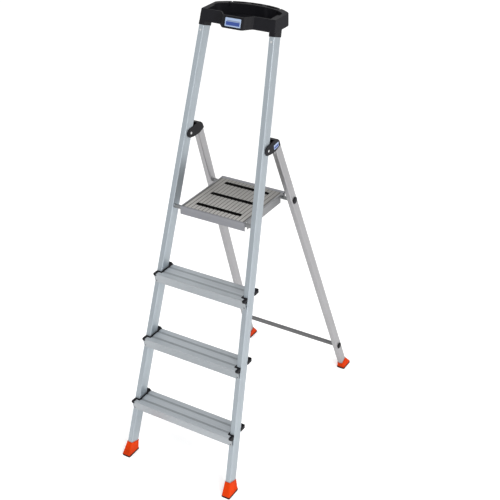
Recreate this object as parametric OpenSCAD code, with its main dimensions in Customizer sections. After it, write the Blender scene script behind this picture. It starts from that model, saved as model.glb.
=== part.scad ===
// Free-standing platform step ladder: leaning front frame with three treads and a
// platform, a hinged rear frame, and a tool tray on top. Millimetres, +Z up, origin on
// the ground at the middle of the footprint, front of the ladder towards -Y.

/* [Front frame] */
// Height from one tread to the next
step_pitch = 235; // [228:1:238]
// Height of the first tread above the ground
first_tread = 222.5; // [216:0.5:228]
// Lean of the front stiles from the vertical, in degrees
stile_lean = 17.6; // [17.2:0.1:18]
// Inward lean of each stile, in degrees
stile_splay = 3; // [2.9:0.05:3.1]
// Half the distance between the stiles' centre lines at the ground
stile_half = 215.7; // [214:0.1:225]
// Width of a stile across the ladder
stile_w = 20; // [19:0.5:21]
// Depth of a stile from front to back
stile_d = 42; // [41:0.5:44]
// Wall of the aluminium tubes
tube_wall = 1.6; // [1.2:0.1:2]

/* [Treads] */
// How far a tread's nose stands in front of the stiles
nose = 22; // [20:0.5:24]
// How far a tread reaches behind the stiles' front face
tread_back = 65; // [62:0.5:66]
// Height of a tread's front lip
lip_h = 38; // [34:1:40]

/* [Platform] */
// Width of the platform
deck_w = 258; // [250:1:259]
// Height of the platform's front and rear profiles
deck_h = 30.5; // [28:0.5:31]
// Diameter of the two rods that carry the platform
rod_d = 14; // [12:0.5:14]
// Length of a black grip strip
grip_len = 180; // [150:1:190]

/* [Rear frame] */
// Lean of the rear legs from the vertical, in degrees
leg_lean = 20.73; // [20.5:0.01:21]
// Width of a rear leg across the ladder
leg_w = 20; // [19:0.5:20]
// Depth of a rear leg from front to back
leg_d = 33; // [31:0.5:34]
// Half the distance between the rear legs' centre lines at the ground
leg_half = 223.1; // [221:0.1:226]
// Height of the rear crossbar above the ground, along the legs
crossbar_at = 136; // [110:1:200]

/* [Hinge] */
// Place of the hinge pin along the stile, measured from the ground
pin_at = 1223; // [1221:0.5:1225]
// Depth of the hinge pin behind the stile's front face
pin_depth = 29; // [28:0.5:30]
// Distance from the hinge pin to the rear leg's centre line
leg_offset = 59.3; // [59:0.1:61]

/* [Tray] */
// Height of the tray's rim above the ground
rim_z = 1561; // [1558:1:1565]
// Height of the tray's wall
tray_h = 38.5; // [36:0.5:40]
// How far the middle of the tray's front wall bulges forward
tray_bulge = 26; // [24:0.5:28]

/* [Feet] */
// Length of a front foot on the ground
front_foot_len = 60; // [55:1:62]
// Width of a foot on the ground
foot_w = 32; // [30:0.5:33]
// Thickness of a rubber sole
sole_t = 6.5; // [4:0.5:7]

/* [Hidden] */
$fn = 48;

eps = 0.1;                 // overrun of a cutting solid
gap = 0.25;                // clearance between fixed pieces
running = 0.05;            // radial clearance of a pin in its bore
rivet_r = 2.4;
rivet_head_h = 1.1;
tread_rivet_r = 1.7;
corner_r = 3.2;            // rounding of the aluminium tubes
front_overhang = 7;        // front foot in front of the stiles' front face
rear_foot_len = 57;
side = [-1, 1];            // left is -X, right is +X

sin_lean = sin(stile_lean);
cos_lean = cos(stile_lean);
stile_foot = 22;           // lower end of a stile above the ground, along the stile
stile_top = (rim_z - 24) / cos_lean;

deck_z = first_tread + 3 * step_pitch;
rod_r = rod_d / 2;
deck_t = 2.4;
hook_wall = 1.6;
hook_r = rod_r + hook_wall;
rod_z = deck_z - rod_r - deck_t - 0.1;
front_rod_y = rod_z * tan(stile_lean) + 14.3;
rear_rod_z = rod_z - 8;     // the rear rod lies lower

// hinge pin in the ladder's own side view, y from the stiles' front face at the ground
pin_y = pin_at * sin_lean + pin_depth * cos_lean;
pin_z = pin_at * cos_lean - pin_depth * sin_lean;
pin_x = stile_half - pin_at * tan(stile_splay);

// rear leg: its centre line meets the ground at leg_ground_y
sin_leg = sin(leg_lean);
cos_leg = cos(leg_lean);
leg_hinge_at = (pin_z + leg_offset * sin_leg) / cos_leg;
leg_ground_y = pin_y + leg_offset * cos_leg + leg_hinge_at * sin_leg;
leg_splay = atan((leg_half - pin_x) / leg_hinge_at);
leg_mouth = 36;            // leg's upper end below the hinge pin, along the leg
leg_top = leg_hinge_at - leg_mouth;
leg_foot = 15;
rear_rod_y = leg_ground_y - rear_rod_z * tan(leg_lean);
deck_front = front_rod_y - hook_r;
rear_over = 7;              // platform's rear edge behind the hook
deck_back = rear_rod_y + hook_r + rear_over;
deck_depth = deck_back - deck_front;

// the footprint's middle, so that the origin sits under the ladder's centre
rear_foot_y = leg_ground_y + leg_d / 2 / cos_leg + 12;
mid_y = (rear_foot_y - front_overhang) / 2;

// ---- frames of reference -------------------------------------------------------

// y = 0 on the stiles' front face at the ground
module ladder() {
    translate([0, -mid_y, 0]) children();
}

// plane of the front frame: y behind the front face, z up along it
module front_plane() {
    ladder() rotate([-stile_lean, 0, 0]) children();
}

// one stile: x across from its centre line, z up along it
module stile_frame(s) {
    front_plane() translate([s * stile_half, 0, 0]) rotate([0, -s * stile_splay, 0]) children();
}

// plane of the rear frame: y behind the legs' centre line, z up along the legs
module rear_plane() {
    ladder() translate([0, leg_ground_y, 0]) rotate([leg_lean, 0, 0]) children();
}

module leg_frame(s) {
    rear_plane() translate([s * leg_half, 0, 0]) rotate([0, -s * leg_splay, 0]) children();
}

// ---- outlines ------------------------------------------------------------------

function arc(cx, cy, r, from, to, steps) =
    [for (i = [0 : steps]) let (t = from + (to - from) * i / steps) [cx + r * cos(t), cy + r * sin(t)]];

// rectangle with its lower left corner at the origin and rounded corners
function rounded_rect(w, d, r, steps = 4) = concat(
    arc(w - r, r, r, -90, 0, steps), arc(w - r, d - r, r, 0, 90, steps),
    arc(r, d - r, r, 90, 180, steps), arc(r, r, r, 180, 270, steps));

function smooth(t) = let (u = min(1, max(0, t))) u * u * (3 - 2 * u);

// solid bar of rounded section, centred in x, from y = 0 backwards
module bar(w, d, r, from, to) {
    translate([-w / 2, 0, from]) linear_extrude(to - from) polygon(rounded_rect(w, d, r));
}

// hollow bar of the same section
module tube(w, d, from, to) {
    difference() {
        bar(w, d, corner_r, from, to);
        translate([0, tube_wall, 0])
            bar(w - 2 * tube_wall, d - 2 * tube_wall, corner_r - tube_wall, from - eps, to + eps);
    }
}

module along_x(r, from, to) {
    translate([from, 0, 0]) rotate([0, 90, 0]) cylinder(r = r, h = to - from);
}

// ---- front frame ---------------------------------------------------------------

// space that a stile takes up, grown by a clearance
module stile_space(s, grow) {
    stile_frame(s) translate([-stile_w / 2 - grow, -grow, stile_foot])
        cube([stile_w + 2 * grow, stile_d + 2 * grow, stile_top - stile_foot]);
}

module front_rod_axis() {
    ladder() translate([0, front_rod_y, rod_z]) children();
}

module hinge_axis() {
    ladder() translate([0, pin_y, pin_z]) children();
}

tread_rivet_drop = 32;     // tread rivets below the tread's top
tray_rivet_at = 1568.5;    // tray rivets along the stile
function tread_z(i) = first_tread + i * step_pitch;
function stile_x(along) = stile_half - along * tan(stile_splay);

// rivet places on the stiles' front face
module at_tread_rivet(i, s) {
    along = (tread_z(i) - tread_rivet_drop) / cos_lean;
    front_plane() translate([s * stile_x(along), 0, along]) rotate([90, 0, 0]) children();
}

module at_tray_rivet(s) {
    front_plane() translate([s * stile_x(tray_rivet_at), 0, tray_rivet_at])
        rotate([90, 0, 0]) children();
}

module rivet_hole(r = rivet_r) {
    translate([0, 0, -12]) cylinder(r = r + running, h = 16);
}

// blind rivet: domed head, shank through the stack and, in a hollow, a folded end
module rivet(stack, inside, r = rivet_r, fold = 0.8) {
    head = 1.55 * r;
    dome = rivet_head_h / 2;
    translate([0, 0, stack]) {
        cylinder(r = head, h = dome);
        translate([0, 0, dome]) cylinder(r1 = head, r2 = r, h = dome);
    }
    translate([0, 0, -inside]) cylinder(r = r, h = inside + stack);
    if (fold > 0) translate([0, 0, -inside - 1.5]) cylinder(r = r + fold, h = 1.5);
}

module stile(s) {
    color("silver") difference() {
        stile_frame(s) tube(stile_w, stile_d, stile_foot, stile_top);
        for (i = [0 : 2]) at_tread_rivet(i, s) rivet_hole(tread_rivet_r);
        at_tray_rivet(s) rivet_hole();
        // the rod enters through the inner wall only
        front_rod_axis() mirror([s < 0 ? 1 : 0, 0, 0])
            along_x(rod_r + running, 0, stile_x(rod_z / cos_lean) + stile_w / 2 - 4);
        hinge_axis() mirror([s < 0 ? 1 : 0, 0, 0])
            along_x(hinge_pin_r + running, pin_x - stile_w, pin_x + stile_w);
    }
}

module stile_left() { stile(-1); }
module stile_right() { stile(1); }

module front_rod() {
    reach = stile_x(rod_z / cos_lean) + stile_w / 2 - 5.5;
    color("silver") front_rod_axis() difference() {
        along_x(rod_r, -reach, reach);
        along_x(rod_r - 1.5, -reach - eps, reach + eps);
    }
}

// ---- treads --------------------------------------------------------------------

top_wall = 2.2;
ridge_h = 0.8;
ridge_pitch = 3.2;
ridge_from = 6.8;          // first ridge behind the nose
groove_floor = 1.9;        // depth of the two wide grooves
groove_half = 4.6;
groove_at = [6, tread_back * 0.62];
rivet_seat = 3.6;          // head of a tread rivet in front of the stile
cap_band = 5.5;            // plastic between the tread and the stile
cap_ear = 9;               // plastic at the outer end of the nose
cap_rise = 1.4;            // plastic above the tread's top

function lip_y(z) = -nose + 0.6 + (-z) * (nose - lip_foot_out()) / lip_h;
function lip_foot_out() = lip_h * tan(stile_lean) + 2.6;

// ribbed top from the nose to the back edge, as a row of points
function ridges(y) = y > tread_back - 4 ? [] : concat(
    (min([for (g = groove_at) abs(y + ridge_pitch / 2 - g)]) < groove_half) ?
        [[y, -ridge_h], [y + 0.6, -groove_floor], [y + ridge_pitch - 0.6, -groove_floor],
         [y + ridge_pitch, -ridge_h]] :
        [[y + 0.5, -ridge_h], [y + 1, 0], [y + ridge_pitch - 1.1, 0], [y + ridge_pitch - 0.6, -ridge_h]],
    ridges(y + ridge_pitch));

// section of a tread in the ladder's side view: y from the stiles' front face at the
// height of the tread's top, z from that top
module tread_section() {
    lip_t = 2.4;
    web_z = -19;
    polygon(concat(
        [[lip_y(-lip_h) + lip_t, -lip_h], [lip_y(-lip_h), -lip_h], [lip_y(-3), -3],
         [-nose, -1.6], [-nose + 1.2, -0.3], [-nose + 2.6, 0], [-nose + 5, 0], [-nose + 5.4, -ridge_h]],
        ridges(-nose + ridge_from),
        [[tread_back - 1.2, -ridge_h], [tread_back - 0.4, -1.4], [tread_back, -2.6],
         [tread_back, -9], [tread_back - 1.5, -10.6], [lip_y(web_z) + lip_t + 0.1, web_z - 2],
         [lip_y(web_z - 2) + lip_t, web_z - 2]]));
}

// hollow chambers of the section
module tread_chambers() {
    lip_t = 2.4;
    ribs = [-nose + 4, 14, 36, tread_back];
    for (i = [0 : 2]) {
        a = ribs[i] + (i == 0 ? 1.2 : 1);
        b = ribs[i + 1] - (i == 2 ? 2 : 1);
        fall = (19 - 8.6) / (tread_back + nose);
        polygon([[a, -top_wall - ridge_h], [b, -top_wall - ridge_h],
                 [b, -19 + fall * (b + nose)],
                 [max(a, lip_y(-16) + lip_t), -19 + fall * (max(a, lip_y(-16) + lip_t) + nose)],
                 [max(a, lip_y(-8) + lip_t), -8]]);
    }
}

// from the ladder's side view to the model: the children are drawn in (y, z)
module across(i, half) {
    z = tread_z(i);
    ladder() translate([-half, z * tan(stile_lean), z])
        rotate([90, 0, 90]) linear_extrude(2 * half) children();
}

// block in the tread's own frame, x given from the middle outwards on side s
module tread_block(i, s, x0, x1, y0, y1, z0, z1) {
    z = tread_z(i);
    ladder() translate([0, z * tan(stile_lean), z]) mirror([s < 0 ? 1 : 0, 0, 0])
        translate([x0, y0, z0]) cube([x1 - x0, y1 - y0, z1 - z0]);
}

// half lengths: to the stiles' outer sides, and to the ends of the nose
function tread_end(i) = stile_x(tread_z(i) / cos_lean) + stile_w / 2;
function nose_end(i) = tread_end(i) - 2.4;

module tread(i) {
    half = nose_end(i);
    inner = tread_end(i) - stile_w - cap_band;
    color([0.72, 0.75, 0.76]) difference() {
        across(i, half) tread_section();
        across(i, half + eps) tread_chambers();
        for (s = side) {
            // notch that the cap and the stile fill
            tread_block(i, s, inner, half + 5, -cap_band, tread_back + 5, -60, 5);
            tread_block(i, s, half - cap_ear, half + 5, -nose - 5, -cap_band + eps, -9, 5);
            stile_space(s, 0.02);
            at_tread_rivet(i, s) {
                rivet_hole(tread_rivet_r);
                translate([0, 0, rivet_seat]) cylinder(r = 1.55 * tread_rivet_r + gap, h = 6);
            }
        }
    }
}

// end cap: a collar round the stile with an ear over the nose and a block behind
module tread_cap(i, s) {
    half = tread_end(i) + 1.2;
    inner = tread_end(i) - stile_w - cap_band + gap;
    depth = -17;
    back = tread_back + 0.6;
    color([0.12, 0.12, 0.13]) difference() {
        union() {
            // band along the inner side, rounded where it meets the front strip
            tread_block(i, s, inner, inner + cap_band, -cap_band + 1.5, back, depth, cap_rise);
            tread_block(i, s, inner + 1.5, nose_end(i), -cap_band + gap, 6, depth, cap_rise);
            // block behind the stile with a raised rim
            tread_block(i, s, inner, half, stile_d - 1, back, -10, cap_rise);
            tread_block(i, s, inner + 5, half, back - 2.6, back, -10, cap_rise + 3.4);
            // ear over the outer end of the nose
            tread_block(i, s, nose_end(i) - cap_ear + gap, nose_end(i) + 0.8,
                        -nose - 0.8, -cap_band + 1, -8.7, cap_rise);
        }
        stile_space(s, gap);
        lip_cut(i);
    }
}

// keeps a cap behind the face of the tread's lip
module lip_cut(i) {
    across(i, tread_end(i) + 20)
        polygon([[-nose - 20, 3], [-nose - 1, 3], [-nose - 0.8, -4], [lip_y(-lip_h) + 2.4 + gap, -lip_h],
                 [-nose - 20, -lip_h]]);
}

module tread_1() { tread(0); }
module tread_2() { tread(1); }
module tread_3() { tread(2); }
module tread_1_cap_left() { tread_cap(0, -1); }
module tread_1_cap_right() { tread_cap(0, 1); }
module tread_2_cap_left() { tread_cap(1, -1); }
module tread_2_cap_right() { tread_cap(1, 1); }
module tread_3_cap_left() { tread_cap(2, -1); }
module tread_3_cap_right() { tread_cap(2, 1); }

module tread_rivets() {
    color("silver") for (i = [0 : 2]) for (s = side) at_tread_rivet(i, s)
        rivet(rivet_seat + running, tube_wall + running, tread_rivet_r);
}

// ---- tool tray -----------------------------------------------------------------

tray_half = 144;           // before the sides are trimmed to their lean
tray_inner = 125;
tray_side = [143.5, 139]; // half width at the base and at the rim
tray_wall_n = 2.2;         // front wall in front of the stiles' front face
tray_wall = 3.5;
tray_rear_wall = 24;       // rear rim, hollowed by the tool slots
tray_floor = 2.6;
bulge_flat = 33;
bulge_end = 66;
tray_back_y = 129;         // middle of the back, behind the stiles' front face at the rim
back_span = 121;           // half width over which the back bends forward
back_bend = [23, 9];       // its quadratic and quartic parts
tray_base = rim_z - tray_h;
slot_at = [-60, 0, 60];     // tool slots and end notches in the rear rim
notch_at = 91;
socket_from = 1587;         // lower edge of the posts, along the stile
socket_grow = 1.4;          // post outside the stile's sides
tongue_w = stile_w - 2 * tube_wall - 2.8;

function front_edge(x) = -tray_bulge * smooth((bulge_end - abs(x)) / (bulge_end - bulge_flat));
function back_edge(x) =
    let (q = pow(x / back_span, 2)) tray_back_y - back_bend[0] * q - back_bend[1] * q * q;
function back_slope(x) =
    let (t = x / back_span) -(2 * back_bend[0] * t + 4 * back_bend[1] * pow(t, 3)) / back_span;

// front of the tray, seen along the stiles: a straight wall with a flat-topped bulge
function front_outline(half, inset, corner, steps = 24) = let (y0 = inset - tray_wall_n) concat(
    [for (i = [-steps : steps]) let (x = i / steps * (half - corner)) [x, y0 + front_edge(x)]],
    arc(half - corner, y0 + corner, corner, -75, 0, 4),
    [[half, stile_d + 4], [-half, stile_d + 4]],
    arc(-half + corner, y0 + corner, corner, 180, 255, 4));

// rear of the tray in plan: sides, rounded corners and a curved back
function rear_outline(half, corner, side_len, inset, steps = 9) = concat(
    [[-half, side_len], [-half, 22], [half, 22]],
    arc(half - corner, side_len, corner, 0, 62, 5),
    [for (i = [steps : -1 : -steps]) let (x = i / steps * (half - corner * 0.55)) [x, back_edge(x) - inset]],
    arc(-half + corner, side_len, corner, 118, 175, 5));

module tray_frame() {
    ladder() translate([0, rim_z * tan(stile_lean), 0]) children();
}

module tray_mass(half, inset, front_corner, corner, side_len, rear_inset) {
    front_plane() translate([0, 0, socket_from - tray_h]) linear_extrude(4 * tray_h)
        polygon(front_outline(half, inset, front_corner));
    tray_frame() translate([0, 0, tray_base - tray_floor]) linear_extrude(1.5 * tray_h)
        polygon(rear_outline(half, corner, side_len, rear_inset));
}

// slab that reaches beyond the tray on all sides
module tray_slab(from, high) {
    tray_frame() translate([-2 * tray_half, -tray_half, from])
        cube([4 * tray_half, 3 * tray_half, high]);
}

// wedge between the leaning sides
module tray_taper() {
    tray_frame() translate([0, 1.5 * tray_half, tray_base]) rotate([90, 0, 0]) linear_extrude(3 * tray_half)
        polygon([[-tray_side[0], 0], [tray_side[0], 0], [tray_side[1], tray_h], [-tray_side[1], tray_h]]);
}

module tray_shell() {
    difference() {
        intersection() {
            tray_mass(tray_half, 0, 7, 34, 63.5, 0);
            tray_taper();
        }
        difference() {
            intersection() {
                tray_mass(tray_inner, tray_wall, 9, 24, 57, tray_rear_wall);
                tray_slab(tray_base + tray_floor, tray_h);
            }
            for (s = side) tray_post(s, socket_from + 2.5 * tray_h);
        }
        tray_slots();
    }
}

// boxed post round a stile's upper end
module tray_post(s, to) {
    wall = tray_wall_n - 0.4;
    stile_frame(s) translate([0, -wall, 0])
        bar(stile_w + 2 * socket_grow, stile_d + 2 * wall, 3, socket_from, to);
}

// tongue inside a stile, for the rivet
module tray_tongue(s, to) {
    stile_frame(s) translate([-tongue_w / 2, tube_wall + gap, tray_rivet_at - 9])
        cube([tongue_w, 4, to - tray_rivet_at + 9]);
}

module tool_tray() {
    color([0.12, 0.12, 0.13]) difference() {
        union() {
            tray_shell();
            difference() {
                for (s = side) tray_post(s, socket_from + tray_h);
                tray_slab(tray_base + 1, 2 * tray_h);
            }
        }
        for (s = side) {
            difference() {
                stile_space(s, gap);
                tray_tongue(s, stile_top + 5);
            }
            at_tray_rivet(s) rivet_hole();
        }
    }
}

// tool slots along the rear rim and a notch through it near each end
module tray_slots() {
    slot_depth = tray_h - 4;
    slot = [44, 10];
    for (x = slot_at) tray_frame() translate([x, back_edge(x) - tray_rear_wall / 2, rim_z - slot_depth])
        rotate([0, 0, atan(back_slope(x))]) translate([-slot[0] / 2, -slot[1] / 2, 0])
            linear_extrude(slot_depth + 4) polygon(rounded_rect(slot[0], slot[1], 2));
    for (s = side) tray_frame()
        translate([s * notch_at - 2.7, back_edge(notch_at) - tray_rear_wall - 8, rim_z - 12])
            cube([5.4, tray_rear_wall + 30, 20]);
}

module tray_rivets() {
    color("silver") for (s = side) at_tray_rivet(s) rivet(running, tube_wall + gap + 4 + running);
}

module tray_plate() {
    plate = [58, 27.5, 1.2];
    color("white") front_plane()
        translate([2 - plate[0] / 2, -tray_wall_n - tray_bulge - running, socket_from + 8])
            rotate([90, 0, 0]) linear_extrude(plate[2]) polygon(rounded_rect(plate[0], plate[1], 2));
}

// ---- platform ------------------------------------------------------------------

deck_ridge_h = 1.1;
deck_ridge_pitch = 14.8;
deck_ridge_w = 11.6;
front_rim = 6.4;           // width of the smooth front profile on top
rear_rim = 9;              // and of the rear one, in front of its rear flange
deck_shift = 1.5;          // the platform sits a little to the right on its rods
side_edge = 6;
grip_w = 16;
grip_first = 44;           // from the platform's front edge
grip_last = 39.5;          // from the rear profile's hook
grip_gap = (deck_depth - rear_over - grip_last - grip_first) / 2;
function grip_y(i) = deck_front + grip_first + i * grip_gap;

module deck_frame(y) {
    ladder() translate([deck_shift, y, 0]) children();
}

// the children are drawn in (y, z) from a rod's axis and run across the platform
module deck_across(y, z, half) {
    deck_frame(y) translate([-half, 0, z]) rotate([90, 0, 90]) linear_extrude(2 * half) children();
}

hook_lip = 2;              // wall of the lips in front of and behind the rods
hook_inner = rod_r - 2;    // corner of the outlines inside the rods' bores

// front profile: a lip, a flat top and a hook that holds the front rod from below
module front_section() {
    top = deck_z - rod_z;
    joint = front_rim - hook_r;
    polygon(concat(
        [[-hook_r, top - deck_h], [hook_lip - hook_r, top - deck_h], [hook_lip - hook_r, -6.4]],
        arc(0, 0, hook_r, 222, 330, 9),
        [[hook_inner * cos(330), hook_inner * sin(330)], [joint, 0], [joint, top - 0.8], [joint - 0.8, top],
         [1.5 - hook_r, top], [-hook_r, top - 1.5]]));
}

// rear profile, drawn turned round: a saddle over the rear rod, and behind it a flange
// with a lip
module rear_section() {
    top = deck_z - rear_rod_z;
    joint = rear_rim - hook_r;
    back = -hook_r - rear_over;
    difference() {
        polygon(concat(
            [[back, top - deck_h], [back + hook_lip, top - deck_h], [back + hook_lip, top - deck_t],
             [-hook_r, top - deck_t], [-hook_r, -4], [hook_lip - hook_r, -4],
             [hook_lip - hook_r, -2], [0, 0], [hook_inner * cos(30), hook_inner * sin(30)]],
            arc(0, 0, hook_r, 30, 80, 6),
            [[joint, hook_r + 0.8], [joint, top - 0.8], [joint - 0.8, top], [back + 1.5, top],
             [back, top - 1.5]]));
        polygon([[hook_lip - hook_r, 7.2], [-3, 9.6], [joint - 1.8, 10.2], [joint - 1.8, top - deck_t],
                 [hook_lip - hook_r, top - deck_t]]);
    }
}

module deck_front_profile() {
    color([0.68, 0.7, 0.72]) difference() {
        deck_across(front_rod_y, rod_z, deck_w / 2) front_section();
        front_rod_axis() along_x(rod_r + running, -deck_w, deck_w);
    }
}

module deck_rear_profile() {
    color([0.68, 0.7, 0.72]) difference() {
        deck_across(rear_rod_y, rear_rod_z, deck_w / 2) mirror([1, 0]) rear_section();
        rear_rod_axis() along_x(rod_r + running, -deck_w, deck_w);
    }
}

// ribbed panel, its ridges running from front to back
module deck_panel() {
    half = deck_w / 2 - side_edge - gap;
    front = deck_front + front_rim + gap;
    depth = deck_depth - front_rim - rear_rim - rear_over - 2 * gap;
    ridges_n = floor((2 * half - 6) / deck_ridge_pitch);
    start = -ridges_n * deck_ridge_pitch / 2;
    foot = deck_ridge_w / 2;
    color([0.6, 0.59, 0.58]) difference() {
        deck_frame(front + depth) translate([0, 0, deck_z - deck_ridge_h]) rotate([90, 0, 0])
            linear_extrude(depth) polygon(concat(
                [[-half, deck_ridge_h - deck_t], [-half, 0]],
                [for (i = [0 : ridges_n - 1]) let (x = start + (i + 0.5) * deck_ridge_pitch)
                    each [[x - foot, 0], [x - foot + 0.7, deck_ridge_h], [x - 0.8, deck_ridge_h],
                          [x - 0.5, deck_ridge_h / 2], [x + 0.5, deck_ridge_h / 2],
                          [x + 0.8, deck_ridge_h], [x + foot - 0.7, deck_ridge_h], [x + foot, 0]]],
                [[half, 0], [half, deck_ridge_h - deck_t]]));
        // grooves for the grip strips
        for (i = [0 : 2]) grip_slot(i, gap, deck_z - deck_t + 0.8, 5);
    }
}

module grip_slot(i, grow, from, high) {
    w = grip_len + 2 * grow;
    d = grip_w + 2 * grow;
    deck_frame(grip_y(i)) translate([-w / 2, -d / 2, from])
        linear_extrude(high) polygon(rounded_rect(w, d, d * 0.4, 6));
}

module grip_strip(i) {
    color([0.05, 0.05, 0.05]) grip_slot(i, 0, deck_z - deck_t + 0.8, deck_t - 0.2);
}

module grip_strip_front() { grip_strip(0); }
module grip_strip_middle() { grip_strip(1); }
module grip_strip_rear() { grip_strip(2); }

// angle along a side of the platform: an edge on top, a ledge under the panel and a
// flange that stops short of both rods
module deck_side(s) {
    front = deck_front + front_rim + gap;
    depth = deck_depth - front_rim - rear_rim - rear_over - 2 * gap;
    strip = 2.3;
    low = -deck_h - 0.8;
    color([0.5, 0.49, 0.49]) difference() {
        deck_frame(front + depth) mirror([s < 0 ? 1 : 0, 0, 0])
            translate([deck_w / 2, 0, deck_z]) rotate([90, 0, 0]) linear_extrude(depth)
                polygon([[-side_edge, -0.4], [-0.8, -0.4], [0, -1.2], [0, low], [-2, low],
                         [-2, -deck_t - 2.2], [-side_edge - 8, -deck_t - 2.2],
                         [-side_edge - 8, -deck_t - gap], [-side_edge, -deck_t - gap]]);
        deck_frame(front_rod_y) translate([-deck_w, -30, deck_z - deck_h - 5])
            cube([2 * deck_w, 30 + hook_r + gap, deck_h + 5 - strip]);
        deck_frame(rear_rod_y) translate([-deck_w, -16, deck_z - deck_h - 5])
            cube([2 * deck_w, 40, deck_h + 5 - 8.4]);
    }
}

module deck_side_left() { deck_side(-1); }
module deck_side_right() { deck_side(1); }

// ---- rear frame ----------------------------------------------------------------

plug_r = 12.5;
plug_stem_r = 5.5;
crossbar_r = 8.3;
function leg_x(along) = leg_half - along * tan(leg_splay);
function plug_seat(along) = leg_x(along) + leg_w / 2 / cos(leg_splay) + plug_r * sin(leg_splay) + gap;
rear_rod_at = rear_rod_z / cos_leg;

module crossbar_axis() {
    rear_plane() translate([0, 0, crossbar_at]) children();
}

module rear_rod_axis() {
    ladder() translate([0, rear_rod_y, rear_rod_z]) children();
}

module at_bracket_rivet(s) {
    along = leg_top - 14;
    rear_plane() translate([s * leg_x(along), -leg_d / 2, along]) rotate([90, 0, 0]) children();
}

module rear_leg(s) {
    flip = [s < 0 ? 1 : 0, 0, 0];
    color("silver") difference() {
        leg_frame(s) translate([0, -leg_d / 2, 0]) tube(leg_w, leg_d, leg_foot, leg_top);
        crossbar_axis() mirror(flip) along_x(crossbar_r + running, 0, leg_x(crossbar_at) + leg_w);
        rear_rod_axis() mirror(flip) along_x(rod_r + running, 0, leg_x(rear_rod_at) + leg_w);
        at_bracket_rivet(s) rivet_hole();
    }
}

module rear_leg_left() { rear_leg(-1); }
module rear_leg_right() { rear_leg(1); }

// round bar with flutes along it, plain where it passes through the legs
module crossbar() {
    reach = leg_x(crossbar_at) + leg_w / 2 - 0.8;
    fluted = leg_x(crossbar_at) - leg_w / 2 - 3;
    flutes = 10;
    flute = [2.4, 1.1];
    color([0.5, 0.5, 0.51]) crossbar_axis() difference() {
        along_x(crossbar_r, -reach, reach);
        along_x(plug_stem_r + gap, -reach - eps, reach + eps);
        for (i = [0 : flutes - 1]) rotate([i * 360 / flutes, 0, 0])
            translate([-fluted, -flute[0] / 2, crossbar_r - flute[1]]) cube([2 * fluted, flute[0], 3]);
    }
}

module rear_rod() {
    reach = leg_x(rear_rod_at) + leg_w / 2 - 0.8;
    color("silver") rear_rod_axis() difference() {
        along_x(rod_r, -reach, reach);
        along_x(plug_stem_r - 0.2 + gap, -reach - eps, reach + eps);
    }
}

// round plug with a domed cap against the leg's outer side and a stem in the tube
module plug(reach, stem_r) {
    translate([reach, 0, 0]) rotate([0, 90, 0]) {
        cylinder(r = plug_r, h = 1.6);
        translate([0, 0, 1.6]) cylinder(r1 = plug_r, r2 = plug_r - 3, h = 1.6);
    }
    along_x(stem_r, reach - 14, reach);
}

module crossbar_plugs() {
    color([0.08, 0.08, 0.09]) crossbar_axis() for (s = side) mirror([s < 0 ? 1 : 0, 0, 0])
        plug(plug_seat(crossbar_at), plug_stem_r);
}

module rear_rod_plugs() {
    color([0.08, 0.08, 0.09]) rear_rod_axis() for (s = side) mirror([s < 0 ? 1 : 0, 0, 0])
        plug(plug_seat(rear_rod_at), plug_stem_r - 0.2);
}

// ---- hinge ---------------------------------------------------------------------

hinge_pin_r = 3.2;
lobe_r = 16.5;
cheek_t = 2.2;
cheek_gap = 1.4;           // between a cheek and the stile's side
cheek_in = stile_w / 2 + cheek_gap;
cheek_out = cheek_in + cheek_t;

// the bracket is drawn in (y, z) of the rear frame, from the hinge pin; y runs across
// the leg, whose centre line is at leg_offset, and the leg's mouth is at -leg_mouth
leg_rear = leg_offset + leg_d / 2 - 3.8;

// lower and rear edge, from the mouth's front corner round to the neck
bracket_edge = [[22, -30], [42, -leg_mouth], [leg_rear - 1.5, -leg_mouth - 0.5], [leg_rear, -leg_mouth + 1],
                [leg_rear, -27], [leg_rear - 1, -15], [leg_rear - 7, -5], [49, 4], [36, 7.5]];

module bracket_outline() {
    polygon(concat(arc(0, 0, lobe_r, 72, 239, 14), [[5, -22]], bracket_edge, [[21, 10.5]]));
}

// solid part between the cheeks, clear of the stile over the whole fold
module core_outline() {
    polygon(concat([[13.5, -26]], bracket_edge, [[26, 9.5], [17.6, 0], [13.5, -5.5]]));
}

// hollow of the core, open at its upper front edge
module core_pocket() {
    polygon([[24, 16], [20.5, 0], [17, -7], [24, -20], [40, -24], [52, -10], [46, 12]]);
}

module hinge_frame() {
    rear_plane() translate([0, -leg_offset, leg_hinge_at]) children();
}

module side_slab(s, from, to) {
    hinge_frame() mirror([s < 0 ? 1 : 0, 0, 0]) translate([from, 0, 0])
        rotate([90, 0, 90]) linear_extrude(to - from) children();
}

module hinge_bracket(s) {
    color([0.12, 0.12, 0.13]) difference() {
        union() {
            side_slab(s, pin_x - cheek_out, pin_x - cheek_in) bracket_outline();
            side_slab(s, pin_x + cheek_in, pin_x + cheek_out) bracket_outline();
            difference() {
                side_slab(s, pin_x - cheek_in - eps, pin_x + cheek_in + eps) core_outline();
                side_slab(s, pin_x - cheek_in + 0.6, pin_x + cheek_in - 0.6) core_pocket();
            }
            spigot(s, leg_top - 30, leg_top + 2);
        }
        hinge_axis() mirror([s < 0 ? 1 : 0, 0, 0])
            along_x(hinge_pin_r + running, pin_x - 30, pin_x + 30);
        at_bracket_rivet(s) rivet_hole();
        // room for the leg's wall below the mouth
        difference() {
            leg_frame(s) translate([-leg_w, -leg_d, leg_top - 31]) cube([2 * leg_w, 2 * leg_d, 31 + gap]);
            spigot(s, leg_top - 40, leg_top + 20);
        }
    }
}

// plug inside a leg's upper end
module spigot(s, from, to) {
    inset = tube_wall + gap;
    leg_frame(s) translate([0, inset - leg_d / 2, 0])
        bar(leg_w - 2 * inset, leg_d - 2 * inset, corner_r - tube_wall, from, to);
}

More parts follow.
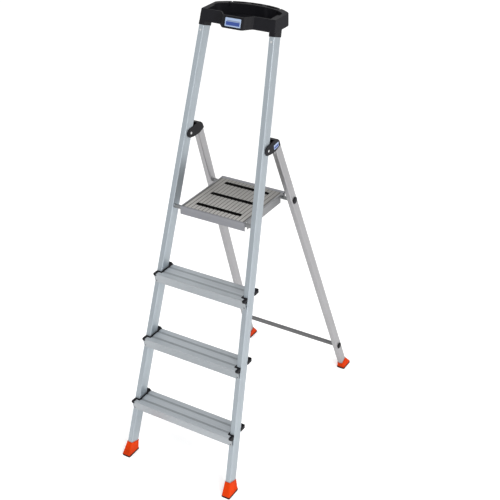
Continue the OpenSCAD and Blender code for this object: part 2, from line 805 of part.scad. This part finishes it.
module hinge_bracket_left() { hinge_bracket(-1); }
module hinge_bracket_right() { hinge_bracket(1); }

// pins with a head at each end, outside the cheeks
module hinge_pins() {
    head_h = 1.8;
    head_r = hinge_pin_r + 1.2;
    color("silver") hinge_axis() for (s = side) mirror([s < 0 ? 1 : 0, 0, 0]) {
        along_x(hinge_pin_r, pin_x - cheek_out - gap, pin_x + cheek_out + gap);
        along_x(head_r, pin_x - cheek_out - gap - head_h, pin_x - cheek_out - gap);
        along_x(head_r, pin_x + cheek_out + gap, pin_x + cheek_out + gap + head_h);
    }
}

module bracket_rivets() {
    color("silver") for (s = side) at_bracket_rivet(s)
        rivet(running, tube_wall + gap + 5, rivet_r, 0);
}

// small blank plate on the outer cheek of the right bracket
module bracket_plate() {
    plate = [30, 16, 0.6];
    color("white") hinge_frame() translate([pin_x + cheek_out + running, 47.5, -19.5]) rotate([-14, 0, 0])
        rotate([90, 0, 90]) translate([-plate[0] / 2, -plate[1] / 2, 0])
            linear_extrude(plate[2]) polygon(rounded_rect(plate[0], plate[1], 1.5));
}

// ---- feet ----------------------------------------------------------------------

front_cap_top = 56;        // along the stile
rear_cap_top = 33;         // along the leg
cap_wall = 1.3;
rim_grow = 0.7;            // raised rim round the collar
panel_in = 0.9;            // depth of the recessed panels
base_lip = 1.8;            // height of the lip above the sole
sole_rim = 0.6;            // sole outside the foot

module foot_base(s, x_in, y_from, length, from, high, shrink) {
    ladder() mirror([s < 0 ? 1 : 0, 0, 0])
        translate([x_in + shrink, y_from + shrink, from]) linear_extrude(high)
            polygon(rounded_rect(foot_w - 2 * shrink, length - 2 * shrink, 4, 3));
}

front_foot_in = stile_half - 14.9;
rear_foot_in = leg_half - 14.1;

module front_body(s, shrink) {
    grow = cap_wall - shrink;
    hull() {
        foot_base(s, front_foot_in, -front_overhang, front_foot_len, sole_t, 3, 0.5 + shrink);
        stile_frame(s) translate([0, -grow, 0])
            bar(stile_w + 2 * grow, stile_d + 2 * grow, corner_r + 0.5, front_cap_top - 8, front_cap_top);
    }
}

module front_foot(s) {
    color([0.95, 0.3, 0.1]) difference() {
        union() {
            difference() {
                front_body(s, 0);
                // recessed panels in the front and in the outer side
                difference() {
                    stile_frame(s) union() {
                        translate([-6.5, -30, 20]) cube([13, 45, 22]);
                        translate([s > 0 ? 5 : -45, 9, 17]) cube([40, 22, 25]);
                    }
                    front_body(s, panel_in);
                }
            }
            foot_base(s, front_foot_in, -front_overhang, front_foot_len, sole_t, base_lip, 0);
            stile_frame(s) translate([0, -cap_wall - rim_grow, 0])
                bar(stile_w + 2 * (cap_wall + rim_grow), stile_d + 2 * (cap_wall + rim_grow), corner_r + 1,
                    front_cap_top - 3, front_cap_top);
        }
        stile_space(s, gap);
    }
}

module rear_body(s, shrink) {
    grow = cap_wall - shrink;
    hull() {
        foot_base(s, rear_foot_in, rear_foot_y - rear_foot_len, rear_foot_len, sole_t, 3, 0.5 + shrink);
        leg_frame(s) translate([0, -leg_d / 2 - grow, 0])
            bar(leg_w + 2 * grow, leg_d + 2 * grow, corner_r + 0.5, rear_cap_top - 6, rear_cap_top);
    }
}

module rear_foot(s) {
    color([0.95, 0.3, 0.1]) difference() {
        union() {
            difference() {
                rear_body(s, 0);
                difference() {
                    leg_frame(s) union() {
                        translate([-6, -60, 15]) cube([12, 50, 9]);
                        translate([s > 0 ? 5 : -45, -10, 13]) cube([40, 20, 11]);
                    }
                    rear_body(s, panel_in);
                }
            }
            foot_base(s, rear_foot_in, rear_foot_y - rear_foot_len, rear_foot_len, sole_t, base_lip, 0);
            leg_frame(s) translate([0, -leg_d / 2 - cap_wall - rim_grow, 0])
                bar(leg_w + 2 * (cap_wall + rim_grow), leg_d + 2 * (cap_wall + rim_grow), corner_r + 1,
                    rear_cap_top - 3, rear_cap_top);
        }
        leg_frame(s) translate([-leg_w / 2 - gap, -leg_d / 2 - gap, leg_foot - gap])
            cube([leg_w + 2 * gap, leg_d + 2 * gap, 80]);
    }
}

module front_foot_left() { front_foot(-1); }
module front_foot_right() { front_foot(1); }
module rear_foot_left() { rear_foot(-1); }
module rear_foot_right() { rear_foot(1); }

module sole(s, x_in, y_from, length) {
    tread_gap = 6;
    color([0.12, 0.1, 0.09]) difference() {
        foot_base(s, x_in, y_from, length, 0, sole_t, -sole_rim);
        for (y = [y_from + 8 : tread_gap : y_from + length - 6]) ladder() mirror([s < 0 ? 1 : 0, 0, 0])
            translate([x_in - 1, y, -1]) cube([foot_w + 2, 1.6, 2.2]);
    }
}

module front_sole_left() { sole(-1, front_foot_in, -front_overhang, front_foot_len); }
module front_sole_right() { sole(1, front_foot_in, -front_overhang, front_foot_len); }
module rear_sole_left() { sole(-1, rear_foot_in, rear_foot_y - rear_foot_len, rear_foot_len); }
module rear_sole_right() { sole(1, rear_foot_in, rear_foot_y - rear_foot_len, rear_foot_len); }

// ---- nodes ---------------------------------------------------------------------

stile_left();
stile_right();
tread_1();
tread_2();
tread_3();
tread_1_cap_left();
tread_1_cap_right();
tread_2_cap_left();
tread_2_cap_right();
tread_3_cap_left();
tread_3_cap_right();
tread_rivets();
tool_tray();
tray_rivets();
tray_plate();
front_rod();
front_foot_left();
front_foot_right();
front_sole_left();
front_sole_right();
deck_panel();
deck_front_profile();
deck_rear_profile();
deck_side_left();
deck_side_right();
grip_strip_front();
grip_strip_middle();
grip_strip_rear();
rear_leg_left();
rear_leg_right();
crossbar();
crossbar_plugs();
rear_rod();
rear_rod_plugs();
hinge_bracket_left();
hinge_bracket_right();
hinge_pins();
bracket_rivets();
bracket_plate();
rear_foot_left();
rear_foot_right();
rear_sole_left();
rear_sole_right();
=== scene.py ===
"""Looks of the platform step ladder: materials, softened edges, camera, floor and light."""
import math

import bpy
from mathutils import Matrix, Vector


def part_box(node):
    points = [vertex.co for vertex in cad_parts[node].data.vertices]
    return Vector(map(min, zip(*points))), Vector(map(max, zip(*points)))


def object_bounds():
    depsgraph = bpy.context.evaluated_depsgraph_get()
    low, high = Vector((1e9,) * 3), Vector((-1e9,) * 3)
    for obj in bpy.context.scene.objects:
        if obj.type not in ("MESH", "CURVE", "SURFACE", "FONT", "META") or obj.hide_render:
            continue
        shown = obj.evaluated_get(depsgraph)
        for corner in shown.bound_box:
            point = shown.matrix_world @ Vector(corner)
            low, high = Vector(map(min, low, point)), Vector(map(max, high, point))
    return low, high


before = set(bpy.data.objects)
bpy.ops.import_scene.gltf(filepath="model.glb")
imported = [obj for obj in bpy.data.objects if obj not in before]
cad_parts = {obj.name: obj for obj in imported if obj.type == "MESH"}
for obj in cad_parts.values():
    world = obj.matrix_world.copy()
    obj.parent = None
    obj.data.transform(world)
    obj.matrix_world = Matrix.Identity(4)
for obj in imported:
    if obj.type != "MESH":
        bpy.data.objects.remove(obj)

MM = 0.001
cad_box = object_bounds()


# ---- shader building -------------------------------------------------------------

class Shader:
    """A material under construction."""

    def __init__(self, name):
        self.material = bpy.data.materials.new(name)
        self.material.use_nodes = True
        self.tree = self.material.node_tree
        self.surface = self.tree.nodes["Principled BSDF"]
        self.place = self.node("TexCoord").outputs["Object"]

    def feed(self, socket, value):
        if isinstance(value, bpy.types.NodeSocket):
            self.tree.links.new(value, socket)
        else:
            socket.default_value = value

    def node(self, kind, inputs=None, **settings):
        made = self.tree.nodes.new("ShaderNode" + kind)
        for key, value in settings.items():
            setattr(made, key, value)
        for key, value in (inputs or {}).items():
            self.feed(made.inputs[key], value)
        return made

    def vector(self, operation, *inputs, output="Vector"):
        made = self.node("VectorMath", operation=operation)
        for i, value in enumerate(inputs):
            self.feed(made.inputs[i], value)
        return made.outputs[output]

    def scaled(self, vector, factor):
        made = self.node("VectorMath", operation="SCALE")
        self.feed(made.inputs[0], vector)
        self.feed(made.inputs["Scale"], factor)
        return made.outputs[0]

    def math(self, operation, *inputs):
        made = self.node("Math", operation=operation)
        for i, value in enumerate(inputs):
            self.feed(made.inputs[i], value)
        return made.outputs[0]

    def drawn_out(self, axis, across, along):
        """Coordinates whose pattern is finer across an axis than along it, in cycles per metre."""
        axis = Vector(axis).normalized()
        reach = self.vector("DOT_PRODUCT", self.place, tuple(axis), output="Value")
        stretch = self.math("MULTIPLY", reach, along - across)
        offset = self.scaled(tuple(axis), stretch)
        return self.vector("ADD", self.scaled(self.place, across), offset)

    def noise(self, vector, scale=1.0, detail=3.0, roughness=0.55):
        inputs = {"Vector": vector, "Scale": scale, "Detail": detail, "Roughness": roughness}
        return self.node("TexNoise", inputs).outputs["Fac"]

    def span(self, value, low, high, out_low, out_high):
        inputs = {0: value, 1: low, 2: high, 3: out_low, 4: out_high}
        return self.node("MapRange", inputs).outputs[0]

    def mix(self, factor, first, second, blend="MIX"):
        made = self.node("Mix", data_type="RGBA", blend_type=blend)
        self.feed(made.inputs[0], factor)
        self.feed(made.inputs[6], first)
        self.feed(made.inputs[7], second)
        return made.outputs[2]

    def bump(self, height, distance, strength=1.0):
        inputs = {"Height": height, "Distance": distance, "Strength": strength}
        return self.node("Bump", inputs).outputs["Normal"]

    def finish(self, **inputs):
        for key, value in inputs.items():
            self.feed(self.surface.inputs[key.replace("_", " ")], value)
        return self.material


def rgb(red, green, blue):
    return (red, green, blue, 1.0)


def tinted(color, factor):
    return tuple(channel * factor for channel in color[:3]) + (1.0,)


def extruded_metal(name, color, axis, rough=0.4, marks=0.5, grooves=None, painted_light_span=None):
    """Drawn aluminium: fine lines along its length, cloudy tone, small dull marks.

    grooves is (height of the tops, depth, tone of the painted shade in the grooves, tone of the faces
    below them).
    painted_light_span is (y of the front, y of the back): painted light and shade, brighter towards the
    front and darker towards the back."""
    s = Shader(name)
    lines = s.noise(s.drawn_out(axis, 1400, 5), detail=2)
    bands = s.noise(s.drawn_out(axis, 130, 1.2), detail=2)
    clouds = s.noise(s.place, 9, detail=4)
    scuffs = s.noise(s.drawn_out(axis, 220, 60), detail=5, roughness=0.7)
    tone = s.span(s.math("ADD", s.math("MULTIPLY", bands, 0.6), s.math("MULTIPLY", clouds, 0.4)),
                  0.3, 0.7, 0.0, 1.0)
    base = s.mix(tone, tinted(color, 0.93), tinted(color, 1.04))
    # painted light: the colour brightens towards the front and darkens towards the back
    if painted_light_span:
        depth = s.node("SeparateXYZ", {"Vector": s.place}).outputs["Y"]
        painted_front_light = s.span(s.math("ADD", depth, s.math("MULTIPLY", clouds, 0.05)), painted_light_span[0], painted_light_span[1], 1.0, 0.0)
        base = s.mix(painted_front_light, tinted(color, 0.84), tinted(color, 1.4))
    dull = s.span(scuffs, 0.66, 0.8, 0.0, marks)
    base = s.mix(dull, base, tinted(color, 0.8))
    if grooves:
        top, depth, groove_shade_tone, face_tone = grooves
        height = s.node("SeparateXYZ", {"Vector": s.place}).outputs["Z"]
        # painted shade: the groove floors are darkened as if shade fell in them
        groove_shade = s.math("MULTIPLY", s.span(height, top - depth, top - 0.3 * depth, 1.0, 0.0),
                      s.span(height, top - 2 * depth, top - 1.6 * depth, 0.0, 1.0))
        base = s.mix(groove_shade, base, tinted(color, groove_shade_tone))
        faces = s.span(height, top - 2 * depth, top - 1.6 * depth, 1.0, 0.0)
        base = s.mix(faces, base, tinted(color, face_tone))
    shine = s.math("ADD", s.span(lines, 0.3, 0.7, rough - 0.06, rough + 0.08),
                   s.math("MULTIPLY", dull, 0.15))
    return s.finish(Base_Color=base, Metallic=0.9, Roughness=shine,
                    Normal=s.bump(lines, 0.00003, 0.35))


def moulded_plastic(name, color, rough=0.5, grain=0.6, sheen=0.5):
    """Moulded plastic: fine leather-like grain, faint flow marks."""
    s = Shader(name)
    fine = s.noise(s.place, 900, detail=2)
    flow = s.noise(s.place, 14, detail=4)
    base = s.mix(s.span(flow, 0.35, 0.65, 0.0, 1.0), tinted(color, 0.85), tinted(color, 1.15))
    shine = s.math("ADD", s.span(flow, 0.3, 0.7, rough - 0.05, rough + 0.08),
                   s.span(fine, 0.3, 0.7, -0.03, 0.03))
    return s.finish(Base_Color=base, Roughness=shine, Normal=s.bump(fine, 0.00006, grain),
                    Specular_IOR_Level=sheen)


def printed_plate(name, node, along, up):
    """Satin film label: pale field, a thin grey line above a solid blue band."""
    low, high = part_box(node)
    middle = (low + high) / 2
    s = Shader(name)
    offset = s.vector("SUBTRACT", s.place, tuple(middle))
    u = s.vector("DOT_PRODUCT", offset, tuple(Vector(along).normalized()), output="Value")
    v = s.vector("DOT_PRODUCT", offset, tuple(Vector(up).normalized()), output="Value")
    points = [vertex.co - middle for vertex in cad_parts[node].data.vertices]
    half_u = max(p.dot(Vector(along).normalized()) for p in points)
    half_v = max(p.dot(Vector(up).normalized()) for p in points)

    def band(value, centre, half):
        distance = s.math("ABSOLUTE", s.math("SUBTRACT", value, centre))
        return s.span(distance, half, half * 1.04 + 0.0003, 1.0, 0.0)

    def patch(cu, cv, hu, hv):
        return s.math("MULTIPLY", band(u, cu * half_u, hu * half_u), band(v, cv * half_v, hv * half_v))

    grain = s.noise(s.place, 400, detail=2)
    field = s.mix(grain, rgb(0.3, 0.39, 0.58), rgb(0.38, 0.48, 0.66))
    field = s.mix(patch(0, -0.28, 0.86, 0.42), field, rgb(0.02, 0.055, 0.26))
    field = s.mix(patch(0.05, 0.34, 0.8, 0.09), field, rgb(0.16, 0.2, 0.3))
    return s.finish(Base_Color=field, Roughness=s.span(grain, 0.3, 0.7, 0.3, 0.42),
                    Normal=s.bump(grain, 0.00002, 0.3))


# ---- softened edges ----------------------------------------------------------------

def soften(width_mm, *nodes, segments=2):
    """Rounds the hard edges of CAD nodes with modifiers."""
    for node in nodes:
        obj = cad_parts[node]
        weld = obj.modifiers.new("weld", "WELD")
        weld.merge_threshold = 1e-5
        bevel = obj.modifiers.new("bevel", "BEVEL")
        bevel.width = width_mm * MM
        bevel.segments = segments
        bevel.limit_method = "ANGLE"
        bevel.angle_limit = math.radians(35)
        bevel.use_clamp_overlap = True


def paint(material, *nodes):
    for node in nodes:
        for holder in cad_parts[node].material_slots:
            holder.material = material


# ---- the ladder's own directions ---------------------------------------------------

def named(*words):
    return [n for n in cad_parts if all(w in n for w in words)]


def run_of(node):
    """Direction of a long straight node, from the middle of its low end to its high end."""
    low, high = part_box(node)
    points = [v.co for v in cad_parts[node].data.vertices]
    ends = []
    for level in (low.z, high.z):
        near = [p for p in points if abs(p.z - level) < 0.03]
        ends.append(sum(near, Vector()) / len(near))
    return (ends[1] - ends[0]).normalized()


# ---- materials ---------------------------------------------------------------------

def paint_metal():
    across = (1, 0, 0)
    for side in ("left", "right"):
        for part, tone in (("stile", rgb(0.44, 0.49, 0.53)), ("rear_leg", rgb(0.43, 0.428, 0.44))):
            node = f"{part}_{side}"
            paint(extruded_metal(node + "_metal", tone, run_of(node)), node)
    for node in ("tread_1", "tread_2", "tread_3"):
        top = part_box(node)[1].z
        # painted shade is darkened into the tread grooves
        paint(extruded_metal(node + "_metal", rgb(0.565, 0.6, 0.63), across, 0.45,
                             grooves=(top, 1.9 * MM, 0.66, 0.8)), node)
    low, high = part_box("deck_panel")
    # the deck gets painted shade in its grooves and painted light towards its front
    paint(extruded_metal("deck_metal", rgb(0.44, 0.43, 0.415), (0, 1, 0), 0.5,
                         grooves=(high.z, 1.1 * MM, 0.45, 0.8), painted_light_span=(low.y, high.y)), "deck_panel")
    paint(extruded_metal("side_metal", rgb(0.33, 0.335, 0.345), (0, 1, 0), 0.45), *named("deck_side"))
    paint(extruded_metal("edge_metal", rgb(0.31, 0.315, 0.34), across, 0.42),
          "deck_front_profile", "deck_rear_profile")
    paint(extruded_metal("rod_metal", rgb(0.27, 0.275, 0.28), across, 0.35), "front_rod", "rear_rod")
    paint(extruded_metal("bar_metal", rgb(0.23, 0.23, 0.235), across, 0.45), "crossbar")
    paint(extruded_metal("rivet_metal", rgb(0.7, 0.71, 0.72), across, 0.3),
          "tray_rivets", "bracket_rivets", "hinge_pins")
    # painted shade: the tread rivets are dark to stand for the shade in their countersunk holes
    paint(extruded_metal("hole_shade_rivet_metal", rgb(0.2, 0.2, 0.21), across, 0.5), "tread_rivets")


def paint_plastic():
    black = moulded_plastic("black_plastic", rgb(0.008, 0.008, 0.0105), 0.48, sheen=0.14)
    paint(black, "tool_tray", *named("_cap_"), *named("hinge_bracket"), *named("plugs"))
    paint(moulded_plastic("grip_rubber", rgb(0.002, 0.002, 0.002), 0.8, 1.0, 0.02), *named("grip_strip"))
    paint(moulded_plastic("orange_plastic", rgb(0.585, 0.04, 0.002), 0.5, 0.4, 0.06), *named("_foot_"))
    paint(moulded_plastic("sole_rubber", rgb(0.012, 0.009, 0.008), 0.8, 1.0, 0.2), *named("_sole_"))
    lean = math.radians(17.6)
    paint(printed_plate("tray_label", "tray_plate", (1, 0, 0), (0, math.sin(lean), math.cos(lean))),
          "tray_plate")
    tilt = math.radians(20.73 - 14)
    paint(printed_plate("bracket_label", "bracket_plate", (0, math.cos(tilt), math.sin(tilt)),
                        (0, -math.sin(tilt), math.cos(tilt))), "bracket_plate")


def soften_all():
    soften(0.6, "tool_tray", *named("_cap_"), *named("hinge_bracket"))
    soften(0.8, *named("_foot_"), segments=3)
    soften(0.4, *named("_sole_"), *named("grip_strip"))
    soften(0.35, "deck_front_profile", "deck_rear_profile")
    soften(0.25, "tread_1", "tread_2", "tread_3", *named("deck_side"))
    soften(0.3, "tray_plate", *named("plugs"))


# ---- camera, floor and light -------------------------------------------------------

def direction(azimuth, elevation):
    """Unit vector of view: azimuth 0 looks along +Y, a positive one from the right side."""
    a, e = math.radians(azimuth), math.radians(elevation)
    return Vector((-math.sin(a) * math.cos(e), math.cos(a) * math.cos(e), -math.sin(e)))


def make_camera():
    azimuth, elevation, roll = 31.58, 30.05, math.radians(-1.04)
    distance = 3.3927
    low, high = cad_box
    target = Vector((0.1486, (low[1] + high[1]) / 2 - 0.1614, 0.8305))
    ahead = direction(azimuth, elevation)
    level = Vector((math.cos(math.radians(azimuth)), math.sin(math.radians(azimuth)), 0))
    upright = level.cross(ahead)
    right = level * math.cos(roll) + upright * math.sin(roll)
    up = upright * math.cos(roll) - level * math.sin(roll)
    data = bpy.data.cameras.new("camera")
    data.sensor_width = 36
    data.lens = 73.03
    camera = bpy.data.objects.new("camera", data)
    place = target - ahead * distance
    camera.matrix_world = Matrix((
        (right.x, up.x, -ahead.x, place.x),
        (right.y, up.y, -ahead.y, place.y),
        (right.z, up.z, -ahead.z, place.z),
        (0, 0, 0, 1)))
    bpy.context.scene.collection.objects.link(camera)
    bpy.context.scene.camera = camera


def make_floor():
    half = 8
    mesh = bpy.data.meshes.new("floor")
    corners = [(-half, -half, 0), (half, -half, 0), (half, half, 0), (-half, half, 0)]
    mesh.from_pydata(corners, [], [(0, 1, 2, 3)])
    floor = bpy.data.objects.new("floor", mesh)
    s = Shader("floor_paint")
    seen = s.node("LightPath").outputs["Is Camera Ray"]
    tone = s.span(s.noise(s.place, 1.5), 0.3, 0.7, 0.0, 1.0)
    floor.data.materials.append(s.finish(
        Base_Color=s.mix(tone, rgb(0.93, 0.93, 0.93), rgb(0.96, 0.96, 0.96)), Roughness=0.9,
        Emission_Color=rgb(1.0, 1.0, 1.0), Emission_Strength=s.span(seen, 0.0, 1.0, 0.1, 0.3)))
    bpy.context.scene.collection.objects.link(floor)


def area_light(name, place, aim, size, power, color=(1, 1, 1)):
    data = bpy.data.lights.new(name, "AREA")
    data.shape = "RECTANGLE"
    data.size, data.size_y = size
    data.energy = power
    data.color = color
    light = bpy.data.objects.new(name, data)
    light.location = place
    light.rotation_euler = (Vector(aim) - Vector(place)).to_track_quat("-Z", "Y").to_euler()
    bpy.context.scene.collection.objects.link(light)


def studio_world():
    """White room. The camera sees it plain; the ladder sees it darker towards the front left."""
    world = bpy.data.worlds.new("studio")
    world.use_nodes = True
    tree = world.node_tree
    back = tree.nodes["Background"]
    back.inputs["Color"].default_value = (1.0, 1.0, 1.0, 1.0)

    def node(kind, **settings):
        made = tree.nodes.new("ShaderNode" + kind)
        for key, value in settings.items():
            setattr(made, key, value)
        return made

    towards = node("VectorMath", operation="DOT_PRODUCT")
    towards.inputs[1].default_value = Vector((-0.45, -0.89, -0.25)).normalized()
    tree.links.new(node("TexCoord").outputs["Generated"], towards.inputs[0])
    room = node("MapRange", interpolation_type="SMOOTHSTEP")
    for slot, value in ((1, 0.75), (2, 0.99), (3, 0.78), (4, 0.5)):
        room.inputs[slot].default_value = value
    tree.links.new(towards.outputs["Value"], room.inputs[0])
    seen = node("MapRange")
    seen.inputs[4].default_value = 1.0
    tree.links.new(node("LightPath").outputs["Is Camera Ray"], seen.inputs[0])
    tree.links.new(room.outputs[0], seen.inputs[3])
    tree.links.new(seen.outputs[0], back.inputs["Strength"])
    bpy.context.scene.world = world


def light_scene():
    centre = (0, 0, 0.8)
    area_light("key", (3.0, -1.5, 3.2), centre, (2.0, 2.0), 90, (1.0, 0.98, 0.96))
    area_light("fill", (-2.5, -3.0, 2.2), centre, (2.5, 2.5), 6, (0.92, 0.97, 1.0))
    area_light("strip", (3.4, -2.1, 0.7), centre, (0.4, 1.8), 22)
    bpy.context.scene.view_settings.view_transform = "Standard"


paint_metal()
paint_plastic()
soften_all()
make_camera()
make_floor()
studio_world()
light_scene()
